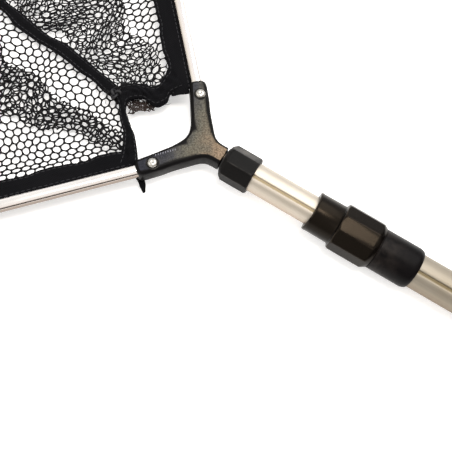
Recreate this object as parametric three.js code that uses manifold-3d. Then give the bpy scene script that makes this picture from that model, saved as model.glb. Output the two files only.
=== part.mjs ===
// Leaf skimmer net on a telescopic pole, lying flat.
// Millimetres, +Z up. X runs along the pole, from the net head (-X) to the hand grip (+X).
// The whole group is shifted so that the origin is at the centre of the underside.
import * as THREE from 'three';
import { mergeVertices } from 'three/addons/utils/BufferGeometryUtils.js';
import Module from 'manifold-3d';

const wasm = await Module();
wasm.setup();

// ---- driving dimensions (mm), measured from where the two frame arms would meet on the pole axis
const HALF_ANGLE = THREE.MathUtils.degToRad(48); // each arm to the pole axis
const FLOOR_Z = -17.6;          // the plane the skimmer lies on
const HEAD_DEPTH = 245;         // apex to the centreline of the front bar
const CORNER_R = 55;            // bend radius of the frame's two corners
const TUBE_R = 4.6;             // frame tube, outside
const TUBE_BORE_R = 3.0;        // channel for the welt cord
const TUBE_SLOT = 2.6;          // slot along the inner side of the frame tube
const TUBE_START = 35.5;        // arm length hidden by the yoke, from the apex
const WELT_R = 2.65;            // cord sewn into the edge of the hem
const WELT_START = 50;          // where the welt cord starts, from the apex
const HEM_T = 1.8;              // hem tape, doubled
const HEM_OUT = 2.2;            // hem edge inside the slot, from the tube's centreline
const HEM_IN = 17.5;            // inner edge of the hem, from the tube's centreline
const NET_T = 1.8;              // bag wall
const SEAM_W = 9;               // centre seam tape
const YOKE_H = 14;              // yoke thickness
const RIVET_S = 42.4;           // rivet, from the apex along the arm
const STUD_R = 4;               // M8 stud
const COLLAR_AF = 25;           // octagonal collar, across flats
const COLLAR_X0 = 11.8, COLLAR_X1 = 34.8;
const INNER_R = 10.6, INNER_WALL = 1.1, INNER_X0 = 15.6, INNER_LEN = 760;
const OUTER_R = 12.5, OUTER_WALL = 1.15, OUTER_X0 = 118, OUTER_LEN = 846;
const LOCK_X0 = 80.6, LOCK_X1 = 101.3, LOCK_X2 = 131.4; // front sleeve, then the ten-sided grip
const SLEEVE_R = 14.35, LOCK_AF = 35.2;
const BASE_X0 = 132.0, BASE_X1 = 161.5, BASE_R = 15;
const GRIP_X0 = 830, GRIP_X1 = 958, GRIP_R = 17.6;
const CAP_X1 = 990;             // end of the cap with the hanging hole

// ---- materials
const mat = (color, roughness, metalness) => new THREE.MeshStandardMaterial({ color, roughness, metalness });
const alu = () => mat(0xcfc8bb, 0.35, 0.9);
const black = () => mat(0x26231f, 0.5, 0);
const steel = () => mat(0xd8d5cc, 0.3, 0.9);
const cloth = () => mat(0x141416, 0.95, 0);
const foam = () => mat(0x1c1c1d, 0.9, 0);

// ---- solid helpers
function toSolid(geometry) {
  const g = geometry.clone();
  g.deleteAttribute('normal');
  g.deleteAttribute('uv');
  const m = mergeVertices(g, 1e-4);
  return new wasm.Manifold(new wasm.Mesh({
    numProp: 3,
    vertProperties: new Float32Array(m.attributes.position.array),
    triVerts: new Uint32Array(m.index.array),
  }));
}
function toGeometry(solid) {
  const out = solid.getMesh();
  const g = new THREE.BufferGeometry();
  g.setAttribute('position', new THREE.BufferAttribute(new Float32Array(out.vertProperties), 3));
  g.setIndex(new THREE.BufferAttribute(new Uint32Array(out.triVerts), 1));
  g.computeVertexNormals();
  return g;
}
const group = new THREE.Group();
function add(name, shape, material) {
  const mesh = new THREE.Mesh(shape.isBufferGeometry ? shape : toGeometry(shape), material);
  mesh.name = name;
  group.add(mesh);
}
// a profile of [x, r] points turned about the X axis; it closes on itself or starts and ends on the axis
function turned(profile, segments = 32, phase = 0) {
  const g = new THREE.LatheGeometry(profile.map(([x, r]) => new THREE.Vector2(r, x)), segments, phase);
  g.rotateZ(-Math.PI / 2);
  return fixed(g);
}
// flips a turned or extruded body whose faces came out pointing inward
function fixed(g) {
  const p = g.attributes.position, i = g.index ? g.index.array : [...Array(p.count).keys()];
  let v = 0;
  for (let k = 0; k < i.length; k += 3) {
    const [a, b, c] = [0, 1, 2].map((n) => new THREE.Vector3().fromBufferAttribute(p, i[k + n]));
    v += a.dot(b.cross(c));
  }
  if (v < 0) {
    const j = Array.from(i);
    for (let k = 0; k < j.length; k += 3) [j[k], j[k + 1]] = [j[k + 1], j[k]];
    g.setIndex(j);
  }
  return g;
}
const rod = (x0, x1, r, segments = 24) => turned([[x0, 0], [x0, r], [x1, r], [x1, 0]], segments);
const ring = (profile, segments) => turned([...profile, profile[0]], segments);
// an outline in the plane across the pole (u is down, v is +Y), run along X
function alongX(shape, x0, x1) {
  const g = new THREE.ExtrudeGeometry(shape, { depth: x1 - x0, bevelEnabled: false, steps: 1, curveSegments: 8 });
  g.rotateY(Math.PI / 2);
  g.translate(x0, 0, 0);
  return fixed(g);
}
// an outline in plan, run up in Z
function upZ(points, z0, z1, bevel = 0, bevelSegments = 1) {
  const shape = new THREE.Shape(points.map(([x, y]) => new THREE.Vector2(x, y)));
  const g = new THREE.ExtrudeGeometry(shape, {
    depth: z1 - z0 - 2 * bevel, steps: 1, bevelEnabled: bevel > 0,
    bevelThickness: bevel, bevelSize: bevel, bevelOffset: -bevel, bevelSegments,
  });
  g.translate(0, 0, z0 + bevel);
  return fixed(g);
}
// a point on the right (+1) or left (-1) arm: s along it, n outward across it
const arm = (s, n, side = 1) => [
  -s * Math.cos(HALF_ANGLE) + n * Math.sin(HALF_ANGLE),
  side * (s * Math.sin(HALF_ANGLE) + n * Math.cos(HALF_ANGLE)),
];
function ngon(af, n, cornerCut, phase = 0) {
  const pts = [], R = af / 2 / Math.cos(Math.PI / n);
  for (let k = 0; k < n; k++) {
    for (const s of [-1, 1]) {
      const a = phase + (2 * Math.PI * (k + 0.5)) / n, b = a + (s * Math.PI) / n;
      const c = [R * Math.cos(a), R * Math.sin(a)], m = [(af / 2) * Math.cos(b), (af / 2) * Math.sin(b)];
      const d = Math.hypot(m[0] - c[0], m[1] - c[1]), t = cornerCut / d;
      pts.push(new THREE.Vector2(c[0] + (m[0] - c[0]) * t, c[1] + (m[1] - c[1]) * t));
    }
  }
  return pts;
}
// tube section with a rolled groove along its top
function grooved(ro, ri, width, depth, n = 32) {
  const pts = [], half = Math.asin(width / 2 / ro);
  for (let k = 0; k <= n; k++) {
    const a = half + (k / n) * (2 * Math.PI - 2 * half);
    pts.push(new THREE.Vector2(-ro * Math.cos(a), ro * Math.sin(a)));
  }
  pts.push(new THREE.Vector2(-(ro - depth), -width * 0.28), new THREE.Vector2(-(ro - depth), width * 0.28));
  const s = new THREE.Shape(pts);
  if (ri) s.holes.push(new THREE.Path(Array.from({ length: n }, (_, k) => {
    const a = (2 * Math.PI * k) / n;
    return new THREE.Vector2(ri * Math.cos(a), ri * Math.sin(a));
  })));
  return s;
}

// ---- path of the frame: left arm, corner, front bar, corner, right arm
const cx = -HEAD_DEPTH + CORNER_R;
const cy = (-CORNER_R - cx * Math.sin(HALF_ANGLE)) / Math.cos(HALF_ANGLE);
const tangentS = -cx * Math.cos(HALF_ANGLE) + cy * Math.sin(HALF_ANGLE);
// the same outline, offset inward by d, as plan points from arm position s0 (left) round to s0 (right)
function framePoints(d, s0, arcSteps = 10) {
  const r = CORNER_R - d, left = [], sweep = Math.PI - (Math.PI / 2 - HALF_ANGLE) ;
  left.push(arm(s0, -d, -1));
  for (let k = 0; k <= arcSteps; k++) {
    // from the arm's outward normal round to the front bar's
    const a = (Math.PI / 2 - HALF_ANGLE) + (k / arcSteps) * sweep;
    left.push([cx + r * Math.cos(a), -(cy + r * Math.sin(a))]);
  }
  const right = left.map(([x, y]) => [x, -y]).reverse();
  return [...left, ...right];
}
class Polyline extends THREE.Curve {
  constructor(points) { super(); this.pts = points.map(([x, y, z = 0]) => new THREE.Vector3(x, y, z)); }
  getPoint(t) {
    const n = this.pts.length - 1, k = Math.min(Math.floor(t * n), n - 1);
    return this.pts[k].clone().lerp(this.pts[k + 1], t * n - k);
  }
  getSpacedPoints() { return this.pts.map((p) => p.clone()); }
  getTangentAt(u) {
    const n = this.pts.length - 1, k = Math.round(u * n);
    const a = this.pts[Math.max(k - 1, 0)], b = this.pts[k], c = this.pts[Math.min(k + 1, n)];
    const d = new THREE.Vector3();
    if (k > 0) d.add(b.clone().sub(a).normalize());
    if (k < n) d.add(c.clone().sub(b).normalize());
    return d.normalize();
  }
}
function swept(section, points) {
  const path = new Polyline(points);
  const g = new THREE.ExtrudeGeometry(new THREE.Shape(section.map(([u, v]) => new THREE.Vector2(u, v))), {
    steps: points.length - 1, bevelEnabled: false, extrudePath: path,
  });
  return fixed(g);
}

// ---- yoke
const tipZ = YOKE_H / 2;
const half = [
  [9.3, 7.2], [4.5, 7.2], [1.0, 7.7], [-2.0, 9.2], [-4.6, 11.6],
  arm(14, 4.4), arm(24, 4.6), arm(31, 5.0), arm(35, 5.8), arm(44, 6.0), arm(50, 6.2), arm(52.6, 5.6), arm(54.0, 3.8),
  arm(54.2, -3.8), arm(53.4, -5.6), arm(50, -6.3), arm(42, -7.2), arm(32, -8.7), arm(27, -9.4),
  [-23.0, 9.8], [-21.4, 6.3], [-20.2, 3.0],
];
const yokeOutline = [...half, [-19.8, 0], ...half.slice().reverse().map(([x, y]) => [x, -y])];
let yoke = toSolid(upZ(yokeOutline, -tipZ, tipZ, 2, 2)).add(toSolid(rod(8, 10.6, 6.4, 24)));
for (const side of [-1, 1]) {
  const socket = rod(TUBE_START - 0.4, 60, TUBE_R + 0.3, 24);
  socket.rotateZ(side > 0 ? Math.PI - HALF_ANGLE : Math.PI + HALF_ANGLE);
  const [rx, ry] = arm(RIVET_S, 0, side);
  const hole = new THREE.CylinderGeometry(2.3, 2.3, 30, 16);
  hole.rotateX(Math.PI / 2);
  hole.translate(rx, ry, 0);
  yoke = yoke.subtract(toSolid(socket)).subtract(toSolid(hole));
}
yoke = yoke.subtract(toSolid(rod(-7, 20, STUD_R + 0.3, 24)));
add('yoke', yoke, black());

// ---- frame tube with its slot, welt cord and rivets
const slotHalf = Math.asin(TUBE_SLOT / 2 / TUBE_R), slotIn = Math.asin(TUBE_SLOT / 2 / TUBE_BORE_R);
const cSection = [];
for (let k = 0; k <= 14; k++) { // outside, from one lip of the slot round to the other
  const a = -Math.PI / 2 + slotHalf + (k / 14) * (2 * Math.PI - 2 * slotHalf);
  cSection.push([TUBE_R * Math.cos(a), TUBE_R * Math.sin(a)]);
}
for (let k = 0; k <= 10; k++) {
  const a = -Math.PI / 2 - slotIn - (k / 10) * (2 * Math.PI - 2 * slotIn);
  cSection.push([TUBE_BORE_R * Math.cos(a), TUBE_BORE_R * Math.sin(a)]);
}
const tubePath = framePoints(0, TUBE_START);
let tube = toSolid(swept(cSection, tubePath));
for (const side of [-1, 1]) {
  const [rx, ry] = arm(RIVET_S, 0, side);
  const hole = new THREE.CylinderGeometry(2.3, 2.3, 12, 16);
  hole.rotateX(Math.PI / 2);
  hole.translate(rx, ry, 0);
  tube = tube.subtract(toSolid(hole));
}
add('frame_hoop', tube, alu());
for (const [name, side] of [['rivet_right', 1], ['rivet_left', -1]]) {
  const [rx, ry] = arm(RIVET_S, 0, side), z1 = tipZ + 0.3, z0 = -tipZ - 0.3;
  const g = new THREE.LatheGeometry([[0, z0 - 1.1], [2.9, z0 - 1.1], [3.3, z0], [1.95, z0], [1.95, z1], [3.6, z1], [3.45, z1 + 0.9], [2.6, z1 + 1.7], [1.2, z1 + 2.1], [0, z1 + 1.9]]
    .map(([r, z]) => new THREE.Vector2(r, z)), 16);
  g.rotateX(Math.PI / 2);
  g.translate(rx, ry, 0);
  add(name, fixed(g), steel());
}
const circle = (r, n) => Array.from({ length: n }, (_, k) => [r * Math.cos((2 * Math.PI * k) / n), r * Math.sin((2 * Math.PI * k) / n)]);
add('welt_cord', swept(circle(WELT_R, 10), framePoints(0, WELT_START)), cloth());

// ---- hem tape along the frame; its outer edge passes the slot up to the welt cord
const hemSection = [[-HEM_T / 2, -HEM_IN], [HEM_T / 2, -HEM_IN], [HEM_T / 2, -WELT_R - 0.35], [-HEM_T / 2, -WELT_R - 0.35]];
add('hem_tape', swept(hemSection, framePoints(0, 56)), cloth());

// ---- hem across the mouth of the yoke, slack, from arm to arm
const crotchLine = [arm(53.2, -13, -1), [-55.5, -21.5], [-65, -11], [-73.5, -2.5], [-70, 3.5], [-60, 5.5], [-54.5, 10.5], [-53.2, 18], arm(53.2, -15.5, 1)];
add('hem_crotch', swept([[-3.6, -1.6], [3.6, -1.6], [3.6, 1.6], [-3.6, 1.6]], crotchLine), cloth());
// ---- tail of the hem, under the left arm at the yoke's tip
{
  const [ax, ay] = arm(56.3, -9, -1), [bx, by] = arm(57.2, 13.5, -1);
  const d = new THREE.Vector2(bx - ax, by - ay).normalize(), w = 1.6;
  const px = -d.y * w, py = d.x * w;
  add('hem_tail', upZ([[ax + px, ay + py], [ax - px, ay - py], [bx - px * 0.7, by - py * 0.7], [bx + d.x * 0.9, by + d.y * 0.9], [bx + px * 0.7, by + py * 0.7]], -TUBE_R - 1.9, -TUBE_R - 0.5), cloth());
}

// ---- the bag: two netting panels, each half a tray with its mouth up, joined by a seam tape
const NET_TOP = -HEM_T / 2 - 0.4;
const rim = (d) => framePoints(d, 64);
function tray(outer, inner) {
  return toSolid(upZ(outer, FLOOR_Z, NET_TOP)).subtract(toSolid(upZ(inner, FLOOR_Z + NET_T, 20)));
}
const basin = tray([...rim(9.5), [-78, 8.5], [-84, 0], [-78, -8.5]], [...rim(9.5 + NET_T), [-81.5, 8], [-86.5, 0], [-81.5, -8]]);
const box = (x0, x1, y0, y1, z0, z1) => {
  const g = new THREE.BoxGeometry(x1 - x0, y1 - y0, z1 - z0);
  g.translate((x0 + x1) / 2, (y0 + y1) / 2, (z0 + z1) / 2);
  return toSolid(g);
};
add('net_panel_right', basin.intersect(box(-300, 0, SEAM_W / 2 + 0.3, 300, -50, 50)), cloth());
add('net_panel_left', basin.intersect(box(-300, 0, -300, -SEAM_W / 2 - 0.3, -50, 50)), cloth());
add('seam_tape', basin.intersect(box(-300, 0, -SEAM_W / 2, SEAM_W / 2, -50, 50)), cloth());

// ---- head fixing: stud, washer, collar and threaded plug
add('stud', rod(-6.6, 34, STUD_R, 20), steel());
add('stud_washer', ring([[10.9, 4.4], [10.9, 9.2], [11.5, 9.2], [11.5, 4.4]], 24), foam());
{
  const oct = new THREE.Shape(ngon(COLLAR_AF, 8, 1.0, Math.PI / 8 * 0));
  let c = toSolid(alongX(oct, COLLAR_X0, COLLAR_X1));
  // conical shoulder at the yoke end and a small break at the pole end
  c = c.intersect(toSolid(turned([[COLLAR_X0, 0], [COLLAR_X0, 11.2], [COLLAR_X0 + 2.2, 13.6], [COLLAR_X1 - 0.7, 13.6], [COLLAR_X1, 12.6], [COLLAR_X1, 0]], 32)));
  c = c.subtract(toSolid(rod(INNER_X0 - 0.3, 60, INNER_R + 0.3, 32))).subtract(toSolid(rod(0, 20, STUD_R + 0.4, 20)));
  add('collar', c, black());
}
add('inner_pole', alongX(grooved(INNER_R, INNER_R - INNER_WALL, 2.4, 0.7), INNER_X0, INNER_X0 + INNER_LEN), alu());
{
  const r = INNER_R - INNER_WALL - 0.3;
  add('pole_plug', toSolid(rod(INNER_X0 + 0.1, 58, r, 24)).subtract(toSolid(rod(0, 36, STUD_R + 0.3, 20))), black());
  const e = INNER_X0 + INNER_LEN, b = OUTER_R - OUTER_WALL - 0.35;
  add('inner_bushing', turned([[e - 22, 0], [e - 22, r - 0.6], [e - 20, r], [e + 0.3, r], [e + 0.3, b], [e + 14, b], [e + 16, b - 1.5], [e + 16, 0]], 24), foam());
}

// ---- twist lock: nut with front sleeve, split collet, threaded base on the outer pole
{
  let nut = toSolid(turned([[LOCK_X0, 0], [LOCK_X0, SLEEVE_R - 0.5], [LOCK_X0 + 0.7, SLEEVE_R], [LOCK_X1 + 4, SLEEVE_R], [LOCK_X1 + 4, 0]], 32));
  const deca = new THREE.Shape(ngon(LOCK_AF, 10, 1.1, 0));
  let grip = toSolid(alongX(deca, LOCK_X1, LOCK_X2));
  grip = grip.intersect(toSolid(turned([[LOCK_X1, 0], [LOCK_X1, 17.4], [LOCK_X1 + 0.9, 18.6], [LOCK_X2 - 3.2, 18.6], [LOCK_X2, 15.9], [LOCK_X2, 0]], 40)));
  nut = nut.add(grip).subtract(toSolid(turned([
    [70, 0], [70, INNER_R + 0.45], [85, INNER_R + 0.45], [86, 12.4], [91, 12.6], [101, 13.6], [104, 13.9], [104.2, 14.9], [140, 14.9], [140, 0],
  ], 32)));
  add('lock_nut', nut, black());
  // split ring with a wedge shape
  let collet = toSolid(ring([[87, INNER_R + 0.3], [87, 12.0], [91, 12.25], [100.3, 13.1], [103.2, 13.1], [103.2, INNER_R + 0.3]], 32));
  collet = collet.subtract(box(80, 110, -1.2, 1.2, 5, 20));
  add('lock_collet', collet, foam());
  // base: neck under the nut, then the rear sleeve over the outer pole
  const pts = [[104.4, INNER_R + 0.35], [104.4, 13.4], [105.6, 14.5], [BASE_X0 - 0.2, 14.5], [BASE_X0, BASE_R], [BASE_X1 - 3.5, BASE_R], [BASE_X1 - 1.0, BASE_R - 0.9], [BASE_X1, BASE_R - 2.2 + 0.1], [BASE_X1, OUTER_R + 0.3], [OUTER_X0 - 0.3, OUTER_R + 0.3], [OUTER_X0 - 0.3, INNER_R + 0.35]];
  add('lock_base', ring(pts, 32), black());
}
add('outer_pole', alongX(grooved(OUTER_R, OUTER_R - OUTER_WALL, 2.6, 0.7), OUTER_X0, OUTER_X0 + OUTER_LEN), alu());

// ---- hand grip and end cap with its hanging hole
{
  const pts = [[GRIP_X0, OUTER_R + 0.3], [GRIP_X0, 15.4], [GRIP_X0 + 2.5, GRIP_R]];
  for (let k = 0; k < 8; k++) {
    const x = GRIP_X0 + 22 + k * 10;
    pts.push([x, GRIP_R], [x + 1.2, GRIP_R - 1.1], [x + 2.8, GRIP_R - 1.1], [x + 4, GRIP_R]);
  }
  pts.push([GRIP_X1 - 2.5, GRIP_R], [GRIP_X1, 15.4], [GRIP_X1, OUTER_R + 0.3]);
  add('hand_grip', ring(pts, 28), foam());
  const poleEnd = OUTER_X0 + OUTER_LEN; // 964
  let cap = toSolid(turned([[poleEnd - 26, 0], [poleEnd - 26, 10.2], [poleEnd - 24, OUTER_R - OUTER_WALL - 0.3], [poleEnd + 0.3, OUTER_R - OUTER_WALL - 0.3],
    [poleEnd + 0.3, 13.6], [poleEnd + 5, 13.6], [poleEnd + 8, 12.4], [poleEnd + 9, 10.5], [poleEnd + 9, 0]], 28));
  const tab = [[poleEnd + 6, -9.5], [CAP_X1 - 6, -9.5], [CAP_X1, -5], [CAP_X1, 5], [CAP_X1 - 6, 9.5], [poleEnd + 6, 9.5]];
  cap = cap.add(toSolid(upZ(tab, -4, 4, 0.8)));
  const hole = new THREE.CylinderGeometry(4, 4, 20, 20);
  hole.rotateX(Math.PI / 2);
  hole.translate(CAP_X1 - 9, 0, 0);
  cap = cap.subtract(toSolid(hole));
  add('end_cap', cap, black());
}

// ---- origin: centre of the underside of the whole object
const X_MIN = -HEAD_DEPTH - TUBE_R, X_MAX = CAP_X1;
group.position.set(-(X_MIN + X_MAX) / 2, 0, -FLOOR_Z);

export default group;
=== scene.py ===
import math
import bpy
import bmesh
import numpy as np
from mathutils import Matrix, Quaternion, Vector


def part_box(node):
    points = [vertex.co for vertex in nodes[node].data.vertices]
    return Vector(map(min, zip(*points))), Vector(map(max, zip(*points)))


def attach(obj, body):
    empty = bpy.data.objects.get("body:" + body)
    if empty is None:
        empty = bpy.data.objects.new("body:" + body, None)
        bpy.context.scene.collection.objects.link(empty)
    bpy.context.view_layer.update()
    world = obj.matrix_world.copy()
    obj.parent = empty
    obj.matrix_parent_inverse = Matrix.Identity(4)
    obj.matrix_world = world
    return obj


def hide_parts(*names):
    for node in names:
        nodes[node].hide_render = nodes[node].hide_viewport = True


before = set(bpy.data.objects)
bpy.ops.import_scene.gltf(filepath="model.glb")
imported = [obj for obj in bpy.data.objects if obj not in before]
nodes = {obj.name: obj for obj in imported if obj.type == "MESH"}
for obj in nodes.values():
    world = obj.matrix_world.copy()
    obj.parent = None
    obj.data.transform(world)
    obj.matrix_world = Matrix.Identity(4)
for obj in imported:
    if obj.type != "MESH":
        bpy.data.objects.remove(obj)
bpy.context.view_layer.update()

# ---------------------------------------------------------------- place of the design's own axes
# mm, from where the two frame arms would meet on the pole's axis
plo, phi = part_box("inner_pole")
X0 = plo[0] - 0.0156
slo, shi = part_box("stud")
Z0 = (slo[2] + shi[2]) / 2
def W(p):
    """mm from the apex -> metres in the row frame"""
    p = np.asarray(p, float)
    return p / 1000.0 + np.array([X0, 0.0, Z0])

# ---------------------------------------------------------------- camera, at the photograph's viewing angle
cam_data = bpy.data.cameras.new("camera")
cam = bpy.data.objects.new("camera", cam_data)
bpy.context.scene.collection.objects.link(cam)
cam_data.sensor_fit = "HORIZONTAL"
cam_data.sensor_width = 36.0
cam_data.lens = 49.7096
cam_data.clip_start = 0.01
cam_data.clip_end = 30
cam.rotation_mode = "QUATERNION"
cam.rotation_quaternion = Quaternion((0.9507962, 0.1593514, -0.0030581, 0.2656770))
cam.location = W((69.59, -169.99, 400.94))
bpy.context.scene.camera = cam

scene = bpy.context.scene
scene.view_settings.view_transform = "Standard"

# ---------------------------------------------------------------- materials
class Mat:
    def __init__(self, name):
        self.m = bpy.data.materials.new(name)
        self.m.use_nodes = True
        self.t = self.m.node_tree
        self.b = self.t.nodes["Principled BSDF"]
    def n(self, kind, **kw):
        x = self.t.nodes.new(kind)
        for k, v in kw.items():
            if k.startswith("i_"):
                x.inputs[k[2:].replace("_", " ")].default_value = v
            else:
                setattr(x, k, v)
        return x
    def link(self, a, ao, b, bi):
        self.t.links.new(a.outputs[ao], b.inputs[bi])
    def set(self, **kw):
        for k, v in kw.items():
            self.b.inputs[k.replace("_", " ")].default_value = v
    def coords(self, scale=(1, 1, 1), rot=(0, 0, 0)):
        tc = self.n("ShaderNodeTexCoord")
        mp = self.n("ShaderNodeMapping")
        mp.inputs["Scale"].default_value = scale
        mp.inputs["Rotation"].default_value = rot
        self.link(tc, "Object", mp, "Vector")
        return mp
    def noise(self, vec, scale, detail=3.0, rough=0.55, out="Fac"):
        x = self.n("ShaderNodeTexNoise")
        x.inputs["Scale"].default_value = scale
        x.inputs["Detail"].default_value = detail
        x.inputs["Roughness"].default_value = rough
        self.link(vec, "Vector", x, "Vector")
        return x
    def ramp(self, src, out, stops):
        r = self.n("ShaderNodeValToRGB")
        e = r.color_ramp.elements
        while len(e) > 1:
            e.remove(e[-1])
        e[0].position, e[0].color = stops[0][0], (*stops[0][1], 1)
        for pos, c in stops[1:]:
            k = e.new(pos)
            k.color = (*c, 1)
        self.link(src, out, r, "Fac")
        return r
    def maprange(self, src, out, a, b, c, d):
        r = self.n("ShaderNodeMapRange")
        for k, v in zip(("From Min", "From Max", "To Min", "To Max"), (a, b, c, d)):
            r.inputs[k].default_value = v
        self.link(src, out, r, "Value")
        return r
    def bump(self, src, out, strength, distance, normal=None):
        x = self.n("ShaderNodeBump")
        x.inputs["Strength"].default_value = strength
        x.inputs["Distance"].default_value = distance
        self.link(src, out, x, "Height")
        if normal is not None:
            self.link(normal, "Normal", x, "Normal")
        return x

def metal(name, base, rough, along, streak=0.05, warm=None, scratch=0.25, groove_at=None, under=None):
    """drawn or brushed metal; along is the mapping scale, small along the drawing direction"""
    m = Mat(name)
    m.set(Metallic=1.0)
    v = m.coords(along)
    lines = m.noise(v, 1.0, 4.0, 0.6)
    v2 = m.coords((1, 1, 1))
    blot = m.noise(v2, 35.0, 3.0)
    c = m.ramp(lines, "Fac", [(0.25, [x * (1 - streak * 2.2) for x in base]), (0.55, base), (0.8, [min(1, x * (1 + streak)) for x in base])])
    mix = m.n("ShaderNodeMix", data_type="RGBA", blend_type="MULTIPLY")
    tint = m.ramp(blot, "Fac", [(0.3, warm or (0.93, 0.9, 0.86)), (0.65, (1, 1, 1))])
    mix.inputs["Factor"].default_value = 0.6
    m.link(c, "Color", mix, "A")
    m.link(tint, "Color", mix, "B")
    m.link(mix, "Result", m.b, "Base Color")
    r = m.maprange(lines, "Fac", 0.2, 0.85, rough - 0.06, rough + 0.09)
    m.link(r, "Result", m.b, "Roughness")
    b = m.bump(lines, "Fac", scratch, 0.00004)
    m.link(b, "Normal", m.b, "Normal")
    if groove_at is not None:
        # painted shade: the base colour darkened along the rolled groove
        sep = m.n("ShaderNodeSeparateXYZ")
        tc = m.n("ShaderNodeTexCoord")
        m.link(tc, "Object", sep, "Vector")
        dz = m.n("ShaderNodeMath", operation="SUBTRACT")
        dz.inputs[1].default_value = Z0
        m.link(sep, "Z", dz, 0)
        at = m.n("ShaderNodeMath", operation="ARCTAN2")
        m.link(dz, "Value", at, 0)
        m.link(sep, "Y", at, 1)
        df = m.n("ShaderNodeMath", operation="SUBTRACT")
        df.inputs[1].default_value = groove_at
        m.link(at, "Value", df, 0)
        ab = m.n("ShaderNodeMath", operation="ABSOLUTE")
        m.link(df, "Value", ab, 0)
        inn = m.maprange(ab, "Value", 0.05, 0.14, 1.0, 0.0)
        groove_shade = m.n("ShaderNodeMix", data_type="RGBA", blend_type="MULTIPLY")
        m.link(inn, "Result", groove_shade, "Factor")
        m.link(mix, "Result", groove_shade, "A")
        groove_shade.inputs["B"].default_value = (0.60, 0.54, 0.40, 1)
        m.link(groove_shade, "Result", m.b, "Base Color")
        mix = groove_shade
    if under is not None:
        # painted shade: darker and browner towards its underside
        geo = m.n("ShaderNodeNewGeometry")
        gs = m.n("ShaderNodeSeparateXYZ")
        m.link(geo, "Normal", gs, "Vector")
        low = m.maprange(gs, "Z", under[0], under[1], 1.0, 0.0)
        underside_shade = m.n("ShaderNodeMix", data_type="RGBA", blend_type="MULTIPLY")
        m.link(low, "Result", underside_shade, "Factor")
        m.link(mix, "Result", underside_shade, "A")
        underside_shade.inputs["B"].default_value = (*under[2], 1)
        m.link(underside_shade, "Result", m.b, "Base Color")
    return m.m

def plastic(name, dark, light, rough, grain=900.0, wear=None, gloss=0.0, bump=0.25, coat=0.0, spec=0.25, tint=(1, 1, 1)):
    m = Mat(name)
    m.b.inputs["Specular IOR Level"].default_value = spec
    m.b.inputs["Specular Tint"].default_value = (*tint, 1)
    v = m.coords()
    big = m.noise(v, 28.0, 5.0, 0.6)
    fine = m.noise(v, grain, 2.0, 0.5)
    c = m.ramp(big, "Fac", [(0.32, dark), (0.72, light)])
    col, out = c, "Color"
    if wear:
        geo = m.n("ShaderNodeNewGeometry")
        e = m.ramp(geo, "Pointiness", [(0.52, (0, 0, 0)), (0.60, (1, 1, 1))])
        mixf = m.n("ShaderNodeMath", operation="MULTIPLY")
        spots = m.maprange(m.noise(v, 160.0, 4.0), "Fac", 0.35, 0.65, 0.0, 0.8)
        m.link(e, "Color", mixf, 0)
        m.link(spots, "Result", mixf, 1)
        mix = m.n("ShaderNodeMix", data_type="RGBA")
        m.link(mixf, "Value", mix, "Factor")
        m.link(c, "Color", mix, "A")
        mix.inputs["B"].default_value = (*wear, 1)
        col, out = mix, "Result"
    m.link(col, out, m.b, "Base Color")
    r = m.maprange(big, "Fac", 0.25, 0.8, rough - 0.07, rough + 0.08)
    m.link(r, "Result", m.b, "Roughness")
    if coat:
        m.set(Coat_Weight=coat, Coat_Roughness=0.18)
    b = m.bump(fine, "Fac", bump, 0.00006)
    m.link(b, "Normal", m.b, "Normal")
    return m.m

def tape_material(name, pitch=0.9, col=(0.0008, 0.0008, 0.0011), hi=(0.0040, 0.0040, 0.0054)):
    """plain-woven tape: over-and-under ribs at the pitch, in mm, from the piece's own UV in mm"""
    m = Mat(name)
    uv = m.n("ShaderNodeUVMap", uv_map="mm")
    mp = m.n("ShaderNodeMapping")
    mp.inputs["Scale"].default_value = (1.0 / pitch, 1.0 / pitch, 1)
    m.link(uv, "UV", mp, "Vector")
    sep = m.n("ShaderNodeSeparateXYZ")
    m.link(mp, "Vector", sep, "Vector")
    def wave(k, ph=0.0, f=math.pi):
        a = m.n("ShaderNodeMath", operation="MULTIPLY_ADD")
        a.inputs[1].default_value, a.inputs[2].default_value = f, ph
        m.link(sep, k, a, 0)
        s = m.n("ShaderNodeMath", operation="SINE")
        m.link(a, "Value", s, 0)
        return s
    sx, sy = wave("X"), wave("Y")
    prod = m.n("ShaderNodeMath", operation="MULTIPLY")
    m.link(sx, "Value", prod, 0)
    m.link(sy, "Value", prod, 1)
    h = m.maprange(prod, "Value", -1, 1, 0, 1)
    n = m.noise(m.coords(), 420.0, 3.0)
    c = m.ramp(h, "Result", [(0.1, col), (0.9, hi)])
    mix = m.n("ShaderNodeMix", data_type="RGBA", blend_type="MULTIPLY")
    mix.inputs["Factor"].default_value = 0.8
    dust = m.ramp(m.noise(m.coords(), 40.0, 4.0), "Fac", [(0.35, (0.55, 0.55, 0.6)), (0.7, (1.3, 1.25, 1.15))])
    m.link(c, "Color", mix, "A")
    m.link(dust, "Color", mix, "B")
    m.link(mix, "Result", m.b, "Base Color")
    m.set(Roughness=0.8, Sheen_Weight=0.02, Sheen_Roughness=0.4, Specular_IOR_Level=0.07)
    m.b.inputs["Sheen Tint"].default_value = (0.5, 0.5, 0.58, 1)
    b = m.bump(h, "Result", 0.8, 0.00022)
    b2 = m.bump(n, "Fac", 0.35, 0.0001, b)
    m.link(b2, "Normal", m.b, "Normal")
    return m.m

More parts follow.
